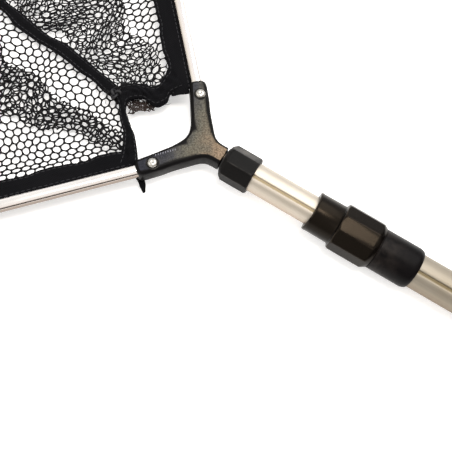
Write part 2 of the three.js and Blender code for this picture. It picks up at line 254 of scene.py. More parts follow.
ALU = (0.47, 0.43, 0.375)
# the last tuple in each metal() call is painted shade on the underside; on the frame tube it is a painted dark
# reflection along the lower edge
M_POLE = metal("mat_pole", ALU, 0.50, (3.0, 420.0, 420.0), 0.07, (0.95, 0.91, 0.85), 0.12, math.radians(111), (-0.15, 0.5, (0.82, 0.74, 0.68)))
M_POLE2 = metal("mat_outer_pole", (0.29, 0.262, 0.216), 0.56, (3.0, 420.0, 420.0), 0.08, (0.95, 0.91, 0.85), 0.12, math.radians(111), (-0.1, 0.55, (0.70, 0.62, 0.56)))
M_FRAME = metal("mat_frame", (0.80, 0.765, 0.735), 0.16, (60.0, 60.0, 420.0), 0.03, (0.96, 0.93, 0.91), 0.04, None, (0.42, 0.74, (0.27, 0.235, 0.21)))
M_RIVET = metal("mat_rivet", (0.42, 0.41, 0.385), 0.28, (400.0, 400.0, 400.0), 0.08)
M_LOCK = plastic("mat_lock", (0.0012, 0.001, 0.001), (0.003, 0.0024, 0.002), 0.24, 700.0, wear=(0.10, 0.08, 0.06), bump=0.06, spec=0.10, tint=(1.0, 0.80, 0.60))
M_SLEEVE = plastic("mat_sleeve", (0.0012, 0.001, 0.0012), (0.0030, 0.0022, 0.0026), 0.38, 700.0, wear=(0.05, 0.04, 0.035), bump=0.08, spec=0.055)
M_COLLAR = plastic("mat_collar", (0.0025, 0.0025, 0.0025), (0.006, 0.0055, 0.0055), 0.40, 800.0, wear=(0.07, 0.065, 0.06), spec=0.07)
M_NYLON = plastic("mat_nylon", (0.62, 0.60, 0.54), (0.74, 0.72, 0.66), 0.5)
M_FOAM = plastic("mat_foam", (0.008, 0.008, 0.009), (0.020, 0.020, 0.021), 0.8, 1500.0, bump=0.9, spec=0.15)
M_RUBBER = plastic("mat_rubber", (0.010, 0.010, 0.010), (0.02, 0.02, 0.02), 0.6)
M_TAPE = tape_material("mat_tape")
M_THREAD = plastic("mat_thread", (0.006, 0.006, 0.007), (0.022, 0.022, 0.026), 0.5, 2500.0, bump=0.5, spec=0.3)

def net_material():
    m = Mat("mat_net")
    v = m.coords()
    c = m.ramp(m.noise(v, 60.0, 3.0), "Fac", [(0.35, (0.002, 0.002, 0.003)), (0.7, (0.007, 0.0065, 0.007))])
    m.link(c, "Color", m.b, "Base Color")
    m.set(Roughness=0.5, Specular_IOR_Level=0.12)
    twist = m.noise(m.coords((1, 1, 1)), 2600.0, 2.0)
    b = m.bump(twist, "Fac", 0.5, 0.0001)
    m.link(b, "Normal", m.b, "Normal")
    return m.m
M_NET = net_material()

SH_ARM, CH_ARM = math.sin(math.radians(48)), math.cos(math.radians(48))
def yoke_material():
    """black moulding; its top face carries a painted sheen, mottled like dust, from slate at the tips to tan at the
    stem
    """
    m = Mat("mat_yoke")
    tc = m.n("ShaderNodeTexCoord")
    v = m.coords()
    sep = m.n("ShaderNodeSeparateXYZ")
    m.link(tc, "Object", sep, "Vector")
    geo = m.n("ShaderNodeNewGeometry")
    nsep = m.n("ShaderNodeSeparateXYZ")
    m.link(geo, "Normal", nsep, "Vector")
    # up-facing faces only: the painted sheen sits on the lit top face
    up = m.maprange(nsep, "Z", 0.93, 0.998, 0.0, 1.0)
    base = m.ramp(m.noise(v, 45.0, 5.0), "Fac", [(0.3, (0.0016, 0.0014, 0.0016)), (0.75, (0.004, 0.0036, 0.0036))])
    x = m.maprange(sep, "X", X0 - 0.036, X0 + 0.010, 0.0, 1.0)
    wob = m.maprange(m.noise(v, 120.0, 4.0), "Fac", 0.3, 0.7, -0.10, 0.10)
    add = m.n("ShaderNodeMath", operation="ADD")
    m.link(x, "Result", add, 0)
    m.link(wob, "Result", add, 1)
    side_ = m.n("ShaderNodeMath", operation="MULTIPLY_ADD")
    side_.inputs[1].default_value = 4.5
    m.link(sep, "Y", side_, 0)
    m.link(add, "Value", side_, 2)
    # painted sheen colours, slate to tan, laid as a gradient along the top face; the speckle below makes it mottled
    # like dust
    dust = m.ramp(side_, "Value", [(0.0, (0.024, 0.025, 0.034)), (0.22, (0.052, 0.052, 0.056)), (0.45, (0.115, 0.108, 0.085)), (0.68, (0.150, 0.125, 0.092)), (0.86, (0.235, 0.172, 0.115)), (1.0, (0.275, 0.20, 0.135))])
    speck = m.maprange(m.noise(v, 900.0, 3.0, 0.7), "Fac", 0.36, 0.62, 0.35, 1.0)
    # painted sheen, mottled like dust, only along the crown of each arm and the stem
    def op(kind, a, b=None, c=None):
        q = m.n("ShaderNodeMath", operation=kind)
        for i, v_ in enumerate((a, b, c)):
            if v_ is None:
                continue
            if isinstance(v_, tuple):
                m.link(v_[0], v_[1], q, i)
            else:
                q.inputs[i].default_value = v_
        return (q, "Value")
    ya = op("ABSOLUTE", (sep, "Y"))
    xr = op("SUBTRACT", (sep, "X"), X0)
    na = op("ADD", op("MULTIPLY", xr, SH_ARM), op("MULTIPLY", ya, CH_ARM))
    sa_ = op("SUBTRACT", op("MULTIPLY", ya, SH_ARM), op("MULTIPLY", xr, CH_ARM))
    mid_ = m.maprange(sa_[0], "Value", 0.028, 0.046, 0.0031, 0.0012)
    off = op("ABSOLUTE", op("ADD", na, (mid_, "Result")))
    arm_m = m.maprange(off[0], "Value", 0.0036, 0.0052, 1.0, 0.0)
    stem = m.maprange(ya[0], "Value", 0.0046, 0.0060, 1.0, 0.0)
    front = m.maprange(xr[0], "Value", -0.013, -0.007, 0.0, 1.0)
    hub = op("SQRT", op("ADD", op("MULTIPLY", op("ADD", xr, 0.0085), op("ADD", xr, 0.0085)), op("MULTIPLY", ya, ya)))
    hub_m = m.maprange(hub[0], "Value", 0.0086, 0.0106, 1.0, 0.0)
    both = op("MAXIMUM", op("MAXIMUM", (arm_m, "Result"), (hub_m, "Result")), op("MULTIPLY", (stem, "Result"), (front, "Result")))
    sheen_and_dust_mask = op("MULTIPLY", both, (speck, "Result"))
    f = op("MULTIPLY", (up, "Result"), sheen_and_dust_mask)[0]
    mix = m.n("ShaderNodeMix", data_type="RGBA")
    m.link(f, "Value", mix, "Factor")
    m.link(base, "Color", mix, "A")
    m.link(dust, "Color", mix, "B")
    m.link(mix, "Result", m.b, "Base Color")
    m.set(Specular_IOR_Level=0.07)
    r = m.maprange(m.noise(v, 70.0, 4.0), "Fac", 0.3, 0.7, 0.36, 0.52)
    m.link(r, "Result", m.b, "Roughness")
    b = m.bump(m.noise(v, 1300.0, 3.0, 0.6), "Fac", 0.5, 0.00012)
    m.link(b, "Normal", m.b, "Normal")
    return m.m
M_YOKE = yoke_material()

# ---------------------------------------------------------------- mesh helpers
def make(name, verts, faces, material, body, replaces=(), smooth=35, uv=None):
    """verts in mm from the apex"""
    me = bpy.data.meshes.new(name)
    me.from_pydata(W(verts).tolist(), [], [list(map(int, f)) for f in faces])
    me.update()
    if uv is not None:
        lay = me.uv_layers.new(name="mm")
        idx = np.zeros(len(me.loops), np.int32)
        me.loops.foreach_get("vertex_index", idx)
        lay.data.foreach_set("uv", np.asarray(uv, float)[idx].astype(np.float32).ravel())
    ob = bpy.data.objects.new(name, me)
    bpy.context.scene.collection.objects.link(ob)
    bm = bmesh.new()
    bm.from_mesh(me)
    bmesh.ops.recalc_face_normals(bm, faces=bm.faces)
    bm.to_mesh(me)
    bm.free()
    if smooth:
        me.shade_smooth()
        me.set_sharp_from_angle(angle=math.radians(smooth))
    me.materials.append(material)
    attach(ob, body)
    if replaces:
        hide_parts(*replaces)
    return ob

def rings_x(profile, n=128):
    """profile: list of (x, radius or function of theta); closed loop of rings about the X axis, or ends on the axis (radius 0)"""
    th = np.arange(n) / n * 2 * np.pi
    V, F = [], []
    idx = []
    for x, r in profile:
        if not callable(r) and r == 0:
            idx.append([len(V)])
            V.append((x, 0, 0))
            continue
        rr = r(th) if callable(r) else np.full(n, float(r))
        idx.append(list(range(len(V), len(V) + n)))
        V += [(x, rr[k] * math.cos(th[k]), rr[k] * math.sin(th[k])) for k in range(n)]
    def join(a, b):
        if len(a) == 1 and len(b) == 1:
            return
        for k in range(n):
            l = (k + 1) % n
            if len(a) == 1:
                F.append((a[0], b[l], b[k]))
            elif len(b) == 1:
                F.append((a[k], a[l], b[0]))
            else:
                F.append((a[k], a[l], b[l], b[k]))
    for a, b in zip(idx, idx[1:]):
        join(a, b)
    if len(idx[0]) > 1:
        join(idx[-1], idx[0])
    return np.array(V), F

def poly_radius(apothem, sides, phase, round_r=0.0):
    """radius of a regular polygon with rounded corners, as a function of the angle from +Y towards +Z"""
    def f(th):
        step = 2 * np.pi / sides
        a = (th - phase + step / 2) % step - step / 2
        r = apothem / np.cos(a)
        if round_r:
            # corner arc of radius round_r
            R = apothem / math.cos(step / 2)
            cdist = (apothem - round_r) / math.cos(step / 2)
            b = np.abs(step / 2 - np.abs(a))
            inside = np.sin(b) * cdist
            arc = cdist * np.cos(b) + np.sqrt(np.maximum(round_r ** 2 - inside ** 2, 0))
            bt = math.atan2(round_r * math.sin(step / 2), cdist + round_r * math.cos(step / 2))
            r = np.where(b < bt, arc, r)
        return r
    return f

def smin(f, cap, k=0.35):
    def g(th):
        a = f(th) if callable(f) else np.full_like(th, float(f))
        h = np.clip(0.5 + 0.5 * (cap - a) / k, 0, 1)
        return cap * (1 - h) + a * h - k * h * (1 - h)
    return g

def groove_radius(R, width, depth, lip=0.0, at=math.radians(111)):
    """round tube with one rolled groove along its top"""
    def f(th):
        a = (th - at + np.pi) % (2 * np.pi) - np.pi
        u = np.abs(a * R)
        g = np.clip(1 - u / (width / 2), 0, 1)
        g = g * g * (3 - 2 * g)
        bead = lip * np.exp(-((u - width * 0.85) / (width * 0.22)) ** 2)
        return R - depth * np.minimum(1, g * 1.6) + bead
    return f

def catmull(points, per):
    P = np.asarray(points, float)
    P = np.vstack([2 * P[0] - P[1], P, 2 * P[-1] - P[-2]])
    out = []
    for i in range(1, len(P) - 2):
        for k in range(per):
            t = k / per
            a, b, c, d = P[i - 1], P[i], P[i + 1], P[i + 2]
            out.append(0.5 * ((2 * b) + (c - a) * t + (2 * a - 5 * b + 4 * c - d) * t * t + (3 * b - a - 3 * c + d) * t ** 3))
    out.append(P[-2])
    return np.array(out)

def smooth_noise(seed, wavelength, dims=2, n=6):
    """a sum of a few seeded sine waves: smooth, repeatable and cheap"""
    r = np.random.default_rng(seed)
    ks = r.normal(size=(n, dims))
    ks = ks / np.linalg.norm(ks, axis=1)[:, None] * (2 * np.pi / wavelength) * r.uniform(0.6, 1.5, (n, 1))
    ph = r.uniform(0, 2 * np.pi, n)
    def f(*c):
        s = 0
        for k, p in zip(ks, ph):
            s = s + np.sin(sum(kk * cc for kk, cc in zip(k, c)) + p)
        return s / math.sqrt(n)
    return f

# ---------------------------------------------------------------- design sizes, as in the CAD
HA = math.radians(48)
CH, SH = math.cos(HA), math.sin(HA)
HEAD_DEPTH, CORNER_R, TUBE_R = 245.0, 55.0, 4.6
FLOOR = -17.6
def arm(s, n, side=1):
    return np.array([-s * CH + n * SH, side * (s * SH + n * CH)])
cx = -HEAD_DEPTH + CORNER_R
cy = (-CORNER_R - cx * SH) / CH
S_T = -cx * CH + cy * SH
HALF_ARC = (math.pi / 2 + HA) * CORNER_R
HALF_LEN = S_T + HALF_ARC + cy            # from the apex to the middle of the front bar
def frame_at(s, n, side):
    """plan point on one half of the frame: s from the apex along the tube's centreline, n outward across it"""
    if s <= S_T:
        return arm(s, n, side)
    if s <= S_T + HALF_ARC:
        a = (math.pi / 2 - HA) + (s - S_T) / CORNER_R
        return np.array([cx + (CORNER_R + n) * math.cos(a), side * (cy + (CORNER_R + n) * math.sin(a))])
    return np.array([cx - CORNER_R - n, side * (cy - (s - S_T - HALF_ARC))])
def round_frame(s0, step, arc_step=3.0):
    """stations (s, side, total) from the left arm round to the right"""
    half = list(np.arange(s0, S_T, step)) + list(np.arange(S_T, S_T + HALF_ARC, arc_step)) + list(np.linspace(S_T + HALF_ARC, HALF_LEN, max(2, int(cy / step))))
    left = [(s, -1, s) for s in half]
    right = [(s, 1, 2 * HALF_LEN - s) for s in half[::-1][1:]]
    return left + right

# ---------------------------------------------------------------- poles
def pole(name, node, body, R, wall, x0, x1, width, depth, mat):
    g, gi = groove_radius(R, width, depth, 0.10), groove_radius(R - wall, width * 0.8, depth * 0.6)
    b = 0.25
    prof = [(x0 + b, g), (x1 - b, g), (x1, smin(g, R - b, 0.1)), (x1, gi), (x0, gi), (x0, smin(g, R - b, 0.1))]
    V, F = rings_x(prof, 288)
    return make(name, V, F, mat, body, (node,))
pole("inner_pole_tube", "inner_pole", "extension", 10.6, 1.1, 15.6, 775.6, 3.4, 0.8, M_POLE)
pole("outer_pole_tube", "outer_pole", "handle", 12.5, 1.15, 118, 964, 3.8, 0.85, M_POLE2)

# ---------------------------------------------------------------- octagonal collar
oct_ = poly_radius(12.5, 8, math.pi / 2, 1.1)
def ridged(f, amount, sides, phase):
    """a fine raised bead on each corner line"""
    def g(th):
        step = 2 * np.pi / sides
        a = np.abs((th - phase) % step - step / 2)
        return f(th) + amount * np.exp(-((a * 12.5) / 0.45) ** 2)
    return g
octr = ridged(oct_, 0.16, 8, math.pi / 2)
prof = []
for x, cap in ((11.8, 10.9), (12.1, 11.4), (13.0, 12.2), (13.9, 13.0), (14.6, 13.9)):
    prof.append((x, smin(octr, cap)))
prof += [(15.5, octr), (33.6, octr), (34.3, smin(octr, 13.0)), (34.65, smin(octr, 12.6)), (34.8, smin(octr, 12.1)), (34.8, 11.0), (15.3, 11.0), (15.3, 4.4), (11.8, 4.4)]
V, F = rings_x(prof, 256)
make("collar_octagon", V, F, M_COLLAR, "extension", ("collar",), smooth=28)

# ---------------------------------------------------------------- twist lock
deca = poly_radius(16.9, 10, math.pi / 2 + math.radians(11), 1.3)
prof = [(80.6, 12.2), (80.6, 13.5), (80.75, 13.95), (81.2, 14.3), (82.2, 14.5), (83.0, 14.32), (83.6, 14.3), (99.8, 14.4), (100.6, 14.7), (101.1, 15.4)]
for x, cap in ((101.3, 16.2), (101.6, 16.9), (102.2, 17.4), (103.0, 17.9)):
    prof.append((x, smin(deca, cap)))
prof += [(104.0, deca), (127.4, deca)]
for x, cap in ((128.4, 17.4), (129.4, 16.7), (130.4, 16.1), (131.2, 15.6)):
    prof.append((x, smin(deca, cap)))
prof += [(131.4, 15.5), (131.4, 14.9), (104.2, 14.9), (104.0, 13.9), (101.0, 13.6), (91, 12.6), (86, 12.4), (85, 11.05), (82.0, 11.05), (81.4, 11.2), (80.9, 12.2)]
prof[0] = (80.9, 12.2)
prof = [(80.62, 12.6)] + prof[1:-1] + [(80.8, 11.6)]
V, F = rings_x(prof, 320)
ang_ = np.arctan2(V[:, 2], V[:, 1])
mouth = np.clip(np.cos(ang_ - math.radians(112)), 0, 1) ** 1.5 * np.clip((84.0 - V[:, 0]) / 3.4, 0, 1)
V[:, 0] += 1.8 * mouth
make("lock_nut_shell", V, F, M_LOCK, "lock", ("lock_nut",), smooth=30)
prof = [(104.4, 10.95), (104.4, 13.4), (105.6, 14.4)]
for k in range(12):  # the start of the thread that shows when the nut is off
    x = 107 + k * 2
    prof += [(x, 14.4), (x + 0.6, 13.8), (x + 1.2, 14.4)]
prof += [(131.9, 14.4), (131.95, 14.8), (132.2, 15.0), (156.6, 15.02)]
for k in range(1, 9):
    a = k / 8 * math.pi / 2
    prof.append((156.6 + 4.9 * math.sin(a), 15.02 - 2.15 * (1 - math.cos(a))))
prof += [(161.5, 12.8), (117.7, 12.8), (117.7, 10.95)]
V, F = rings_x(prof, 192)
make("lock_base_sleeve", V, F, M_SLEEVE, "handle", ("lock_base",), smooth=35)

# ---------------------------------------------------------------- yoke
YH = 7.0
side_pts = [
    (12.0, 7.2), (9.3, 7.2), (4.5, 7.2), (1.0, 7.7), (-2.0, 9.2), (-4.6, 11.6),
    arm(14, 4.4), arm(24, 4.6), arm(31, 5.0), arm(37, 5.7), arm(44, 6.0), arm(49.5, 6.1), arm(52.4, 5.3), arm(54.0, 3.2),
    arm(54.2, 0), arm(54.0, -3.4), arm(52.6, -5.5), arm(49.5, -6.3), arm(42, -7.2), arm(32, -8.7), arm(27, -9.4),
    (-22.8, 9.6), (-21.2, 6.2), (-20.1, 3.0)]
side_pts = [tuple(map(float, p)) for p in side_pts]
outline = side_pts + [(-19.8, 0.0)] + [(x, -y) for x, y in side_pts[::-1]]
outline = catmull(outline, 8)
def inset(poly, d):
    """the open outline moved inward by d along its own normals"""
    t = np.gradient(poly, axis=0)
    t /= np.linalg.norm(t, axis=1)[:, None]
    nrm = np.stack([-t[:, 1], t[:, 0]], 1)
    return poly + nrm * d
sgn = 1.0
area = 0.5 * np.sum(outline[:-1, 0] * outline[1:, 1] - outline[1:, 0] * outline[:-1, 1])
if area < 0:
    sgn = -1.0
levels = []
for z, d in ((-YH, 2.0), (-YH + 0.15, 1.45), (-YH + 0.6, 0.75), (-YH + 1.3, 0.25), (-YH + 2.2, 0.0), (YH - 2.5, 0.0), (YH - 1.8, 0.16), (YH - 1.15, 0.6), (YH - 0.6, 1.15), (YH - 0.22, 1.75), (YH - 0.05, 2.15), (YH, 2.35), (YH, 2.5)):
    levels.append((z, inset(outline, sgn * d)))
V, F = [], []
n = len(outline)
for z, p in levels:
    V += [(x, y, z) for x, y in p]
for i in range(len(levels) - 1):
    for k in range(n - 1):
        F.append((i * n + k, i * n + k + 1, (i + 1) * n + k + 1, (i + 1) * n + k))
    F.append((i * n + n - 1, i * n, (i + 1) * n, (i + 1) * n + n - 1))
F.append(tuple(range(n))[::-1])
F.append(tuple(range((len(levels) - 1) * n, len(levels) * n)))
me = bpy.data.meshes.new("yoke_body")
me.from_pydata(W(V).tolist(), [], F)
bm = bmesh.new()
bm.from_mesh(me)
bmesh.ops.triangulate(bm, faces=[f for f in bm.faces if len(f.verts) > 4])
cut = bmesh.ops.bisect_plane(bm, geom=bm.verts[:] + bm.edges[:] + bm.faces[:], plane_co=W((9.3, 0, 0)), plane_no=(1, 0, 0), clear_outer=True)
bmesh.ops.holes_fill(bm, edges=[e for e in cut["geom_cut"] if isinstance(e, bmesh.types.BMEdge)])
bmesh.ops.recalc_face_normals(bm, faces=bm.faces)
bm.to_mesh(me)
bm.free()
me.shade_smooth()
me.set_sharp_from_angle(angle=math.radians(40))
yoke = bpy.data.objects.new("yoke_body", me)
bpy.context.scene.collection.objects.link(yoke)
me.materials.append(M_YOKE)
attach(yoke, "head")
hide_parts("yoke")
# the round neck between the square end of the yoke and the collar, with its washer
V, F = rings_x([(8.6, 0), (8.6, 6.9), (9.6, 6.9), (10.2, 6.4), (10.8, 6.4), (10.8, 0)], 96)
make("yoke_neck", V, F, M_YOKE, "head", ())
V, F = rings_x([(10.9, 4.4), (10.9, 9.0), (11.0, 9.2), (11.4, 9.2), (11.5, 9.0), (11.5, 4.4)], 96)
make("stud_washer_ring", V, F, M_RUBBER, "head", ("stud_washer",))

# ---------------------------------------------------------------- rivets
for name, node, side in (("rivet_right_head", "rivet_right", 1), ("rivet_left_head", "rivet_left", -1)):
    rx, ry = arm(42.4, 0, side)
    z1 = YH + 0.02
    prof = [(0, -YH - 1.3), (2.9, -YH - 1.3), (3.3, -YH - 0.9), (3.3, -YH + 0.02), (1.95, -YH + 0.02), (1.95, z1), (3.55, z1), (3.6, z1 + 0.5), (3.5, z1 + 0.95), (3.2, z1 + 1.4), (2.7, z1 + 1.8), (2.0, z1 + 2.1), (1.3, z1 + 2.22), (0.9, z1 + 2.2), (0.6, z1 + 1.95), (0, z1 + 1.85)]
    n = 40
    V, F, rows = [], [], []
    for r, z in prof:
        if r == 0:
            rows.append([len(V)])
            V.append((rx, ry, z))
        else:
            rows.append(list(range(len(V), len(V) + n)))
            for k in range(n):
                a = 2 * math.pi * k / n
                rr = r * (1 - (0.035 * abs(math.sin(4 * a)) if r > 3.0 and z > 0 else 0))
                V.append((rx + rr * math.cos(a), ry + rr * math.sin(a), z))
    for a, b in zip(rows, rows[1:]):
        for k in range(n):
            l = (k + 1) % n
            if len(a) == 1:
                F.append((a[0], b[k], b[l]))
            elif len(b) == 1:
                F.append((a[k], a[l], b[0]))
            else:
                F.append((a[k], a[l], b[l], b[k]))
    make(name, V, F, M_RIVET, "head", (node,), smooth=50)

# dark ring laid on the moulding round each rivet as a painted shadow, and the row of moulded ticks on one arm, coloured
# light grey as a painted highlight
def shade_ring(name, side):
    rx, ry = arm(42.4, 0, side)
    n, V, F, rows = 48, [], [], []
    for r, z in ((3.45, YH - 0.2), (3.45, YH + 0.1), (3.8, YH + 0.28), (4.3, YH + 0.2), (4.7, YH + 0.02), (4.7, YH - 0.2)):
        rows.append(list(range(len(V), len(V) + n)))
        V += [(rx + r * math.cos(2 * math.pi * k / n), ry + r * math.sin(2 * math.pi * k / n), z) for k in range(n)]
    for a, b in zip(rows, rows[1:] + rows[:1]):
        for k in range(n):
            l = (k + 1) % n
            F.append((a[k], a[l], b[l], b[k]))
    make(name, V, F, M_COLLAR, "head", (), smooth=50)
shade_ring("rivet_shade_ring_right", 1)
shade_ring("rivet_shade_ring_left", -1)
V, F = [], []
for q in range(9):
    s_q = 24.5 + 1.75 * q
    n0 = -6.3 + 0.05 * q
    for k in range(7):
        t = k / 6
        c0 = arm(s_q + 0.35 * t, n0 + 1.35 * t, -1)
        w = 0.34 * math.sin(math.pi * (0.12 + 0.76 * t))
        ax = np.array([CH, SH])
        for e in range(8):
            a = 2 * math.pi * e / 8
            V.append((c0[0] + ax[0] * w * math.cos(a), c0[1] + ax[1] * w * math.cos(a), YH - 0.02 + w * 0.8 * math.sin(a)))
        if k:
            b0 = len(V) - 16
            for e in range(8):
                l = (e + 1) % 8
                F.append((b0 + e, b0 + l, b0 + 8 + l, b0 + 8 + e))
    F.append(tuple(range(len(V) - 56, len(V) - 48))[::-1])
    F.append(tuple(range(len(V) - 8, len(V))))
# raised ticks coloured light grey: a painted highlight along the arm's inner bevel
M_TICK_HIGHLIGHT = plastic("mat_tick_highlight", (0.10, 0.10, 0.12), (0.26, 0.26, 0.30), 0.45, 1200.0, spec=0.3)
make("yoke_tick_highlights", V, F, M_TICK_HIGHLIGHT, "head", (), smooth=60)

# ---------------------------------------------------------------- frame tube
def sweep_frame(stations, section, z_of=None):
    """section: (n, z) points, closed; swept round the frame and capped"""
    V, F = [], []
    m = len(section)
    for s, side, _ in stations:
        for nn, zz in section:
            p = frame_at(s, nn, side)
            V.append((p[0], p[1], zz))
    for i in range(len(stations) - 1):
        for k in range(m):
            l = (k + 1) % m
            F.append((i * m + k, i * m + l, (i + 1) * m + l, (i + 1) * m + k))
    F.append(tuple(range(m)))
    F.append(tuple(range((len(stations) - 1) * m, len(stations) * m))[::-1])
    return V, F
sec = []
h, hi_ = math.asin(1.3 / TUBE_R), math.asin(1.3 / 3.0)
for k in range(45):
    a = math.pi + h + k / 44 * (2 * math.pi - 2 * h)
    sec.append((TUBE_R * math.cos(a), TUBE_R * math.sin(a)))
for k in range(25):
    a = math.pi - hi_ - k / 24 * (2 * math.pi - 2 * hi_)
    sec.append((3.0 * math.cos(a), 3.0 * math.sin(a)))
V, F = sweep_frame(round_frame(36, 12, 2.0), sec)
make("frame_tube", V, F, M_FRAME, "head", ("frame_hoop",))
V, F = sweep_frame(round_frame(50, 6, 2.5), [(2.65 * math.cos(a), 2.65 * math.sin(a)) for a in np.arange(16) / 16 * 2 * math.pi])
make("welt_cord_core", V, F, M_THREAD, "head", ("welt_cord",))

# ---------------------------------------------------------------- hand grip, end cap and what is inside
gn = smooth_noise(301, 14, 2)
def grip_r(x, base):
    def f(th):
        return base + 0.10 * gn(np.full_like(th, x), th * 14)
    return f
prof = [(830.0, 12.8), (830.0, 14.6)]
for k in range(1, 8):
    a = k / 7 * math.pi / 2
    prof.append((830 + 3.0 * (1 - math.cos(a)), grip_r(830, 14.5 + 2.9 * math.sin(a))))
for x in np.arange(834.5, 953.6, 0.8):
    g = 0.0
    for k in range(8):
        g = max(g, math.exp(-((x - (854 + 10 * k)) / 1.25) ** 4))
    prof.append((x, grip_r(x, 17.4 - 1.15 * g)))
for k in range(7):
    a = k / 7 * math.pi / 2
    prof.append((955 + 3.0 * math.sin(a), grip_r(958, 14.5 + 2.9 * math.cos(a))))
prof += [(958.0, 14.6), (958.0, 12.8)]
V, F = rings_x(prof, 96)
make("hand_grip_foam", V, F, M_FOAM, "handle", ("hand_grip",), smooth=50)

rib = lambda r: (lambda th: r + 0.22 * np.clip(np.cos(th * 24), -0.3, 1))
prof = [(938.2, 0), (938.2, 9.6), (938.6, 10.2), (940, 11.0), (964.3, 11.0), (964.3, 13.2), (964.7, 13.6), (965.4, rib(13.6)), (968.6, rib(13.6)), (969.4, 13.55), (970.6, 13.2), (971.8, 12.6), (972.6, 11.6), (973.0, 10.3), (973.0, 0)]
V, F = rings_x(prof, 192)
make("end_cap_collar", V, F, M_COLLAR, "handle", ("end_cap",), smooth=40)
th = np.arange(128) / 128 * 2 * np.pi
c_, s_2 = np.cos(th), np.abs(np.sin(th))
cands = np.stack([9 / np.maximum(c_, 1e-3), 9.5 / np.maximum(s_2, 1e-3), 15 / np.maximum(-c_, 1e-3), np.where(0.6 * c_ + 0.8 * s_2 > 0.05, 9.4 / np.maximum(0.6 * c_ + 0.8 * s_2, 0.05), 1e3)])
rout = -np.log(np.sum(np.exp(-cands * 2.2), axis=0)) / 2.2
V, F, rows = [], [], []
tabsec = []
for k in range(5):
    a = k / 4 * math.pi / 2
    tabsec.append((0, 0.7 * (1 - math.sin(a)), 3.3 + 0.7 * math.cos(a)))
tabsec += [(0, 0.0, 1.5), (0, 0.0, -1.5)]
for k in range(4, -1, -1):
    a = k / 4 * math.pi / 2
    tabsec.append((0, 0.7 * (1 - math.sin(a)), -(3.3 + 0.7 * math.cos(a))))
for k in range(5):
    a = k / 4 * math.pi / 2
    tabsec.append((1, 1.0 * (1 - math.sin(a)), -(3.0 + 1.0 * math.cos(a))))
tabsec += [(1, 0.0, -1.5), (1, 0.0, 1.5)]
for k in range(4, -1, -1):
    a = k / 4 * math.pi / 2
    tabsec.append((1, 1.0 * (1 - math.sin(a)), 3.0 + 1.0 * math.cos(a)))
for which, d, z in tabsec:
    rr = (np.full(len(th), 4.0) + d) if which == 0 else (rout - d)
    rows.append(list(range(len(V), len(V) + len(th))))
    V += [(981 + rr[k] * math.cos(th[k]), rr[k] * math.sin(th[k]), z) for k in range(len(th))]
for a, b in zip(rows, rows[1:] + rows[:1]):
    for k in range(len(th)):
        l = (k + 1) % len(th)
        F.append((a[k], a[l], b[l], b[k]))
make("end_cap_tab", V, F, M_COLLAR, "handle", (), smooth=40)

for name, mat in (("stud", M_RIVET), ("pole_plug", M_NYLON), ("inner_bushing", M_NYLON), ("lock_collet", M_NYLON)):
    me_ = nodes[name].data
    me_.materials.clear()
    me_.materials.append(mat)

# ---------------------------------------------------------------- the netting: real hexagonal knit, pleated where it is gathered
def inside(poly, P):
    poly, P = np.asarray(poly, float), np.asarray(P, float)
    r = np.zeros(len(P), bool)
    j = len(poly) - 1
    for i in range(len(poly)):
        xi, yi, xj, yj = *poly[i], *poly[j]
        hit = ((yi > P[:, 1]) != (yj > P[:, 1])) & (P[:, 0] < (xj - xi) * (P[:, 1] - yi) / (yj - yi + 1e-12) + xi)
        r ^= hit
        j = i
    return r

def distance_to(path, P):
    """least distance in plan from each point to a polyline"""
    path, P = np.asarray(path, float)[:, :2], np.asarray(P, float)[:, :2]
    d = np.full(len(P), 1e9)
    for a, b in zip(path, path[1:]):
        ab = b - a
        t = np.clip(((P - a) @ ab) / max(ab @ ab, 1e-9), 0, 1)
        d = np.minimum(d, np.linalg.norm(P - (a + t[:, None] * ab), axis=1))
    return d

SEAM = [(-76.0, 3.5, -9.0), (-80.8, 6.3, -10.0), (-94.1, 9.3, -10.8), (-114.9, 12.9, -11.2), (-137.4, 16.1, -11.2), (-166.8, 17.4, -11.2), (-191.3, 22.6, -11.0), (-212.0, 24.0, -9.0), (-226.0, 24.5, -4.5), (-233.0, 24.5, -2.5)]
# the slack hem that hangs across the yoke: its edge towards the yoke, and its edge on the net
EDGE_A = [(-35.2, -40.5, -2.6), (-41.0, -30.6, -3.2), (-52.9, -16.4, -5.6), (-59.4, -11.4, -6.8), (-65.5, -6.1, -7.6), (-70.4, -1.2, -8.2), (-72.2, 5.0, -7.6), (-67.7, 9.9, -6.6), (-62.5, 11.9, -6.0), (-57.5, 10.9, -5.6), (-51.2, 11.4, -5.0), (-47.6, 18.0, -4.2), (-48.3, 24.8, -3.2), (-41.5, 33.5, -2.2)]
EDGE_B = [(-50.2, -46.0, -3.0), (-53.5, -33.6, -3.6), (-60.3, -19.8, -6.0), (-66.0, -14.0, -7.0), (-70.5, -9.3, -7.6), (-78.2, 0.3, -9.0), (-84.5, 4.5, -9.7), (-85.8, 12.0, -9.6), (-80.5, 18.2, -8.8), (-73.5, 21.8, -8.0), (-67.9, 23.3, -7.2), (-62.0, 25.5, -6.2), (-60.6, 31.4, -4.8), (-62.0, 42.5, -3.4)]
ea, eb = catmull(EDGE_A, 10), catmull(EDGE_B, 10)
mid = (ea + eb) / 2
SEAM_C = catmull(SEAM, 10)

def half_region(side, edge):
    hem = [frame_at(s, edge, side) for s in list(np.arange(58, S_T, 6)) + list(np.linspace(S_T, S_T + HALF_ARC, 24)) + [HALF_LEN - (0 if side < 0 else 24.5)]]
    if side < 0:
        hem.append(np.array([cx - CORNER_R - edge, 24.5]))
    k = int(np.argmin(np.abs(mid[:, 1] - 3.5) + (mid[:, 0] > -70) * 50))
    rim = mid[:k + 1] if side < 0 else mid[k:][::-1]
    seam = SEAM_C[:, :2][::-1]
    seam = seam[seam[:, 0] > cx - CORNER_R - edge]
    return np.array([*[tuple(p) for p in hem], *[tuple(p) for p in seam], *[tuple(p[:2]) for p in rim[::-1]]])

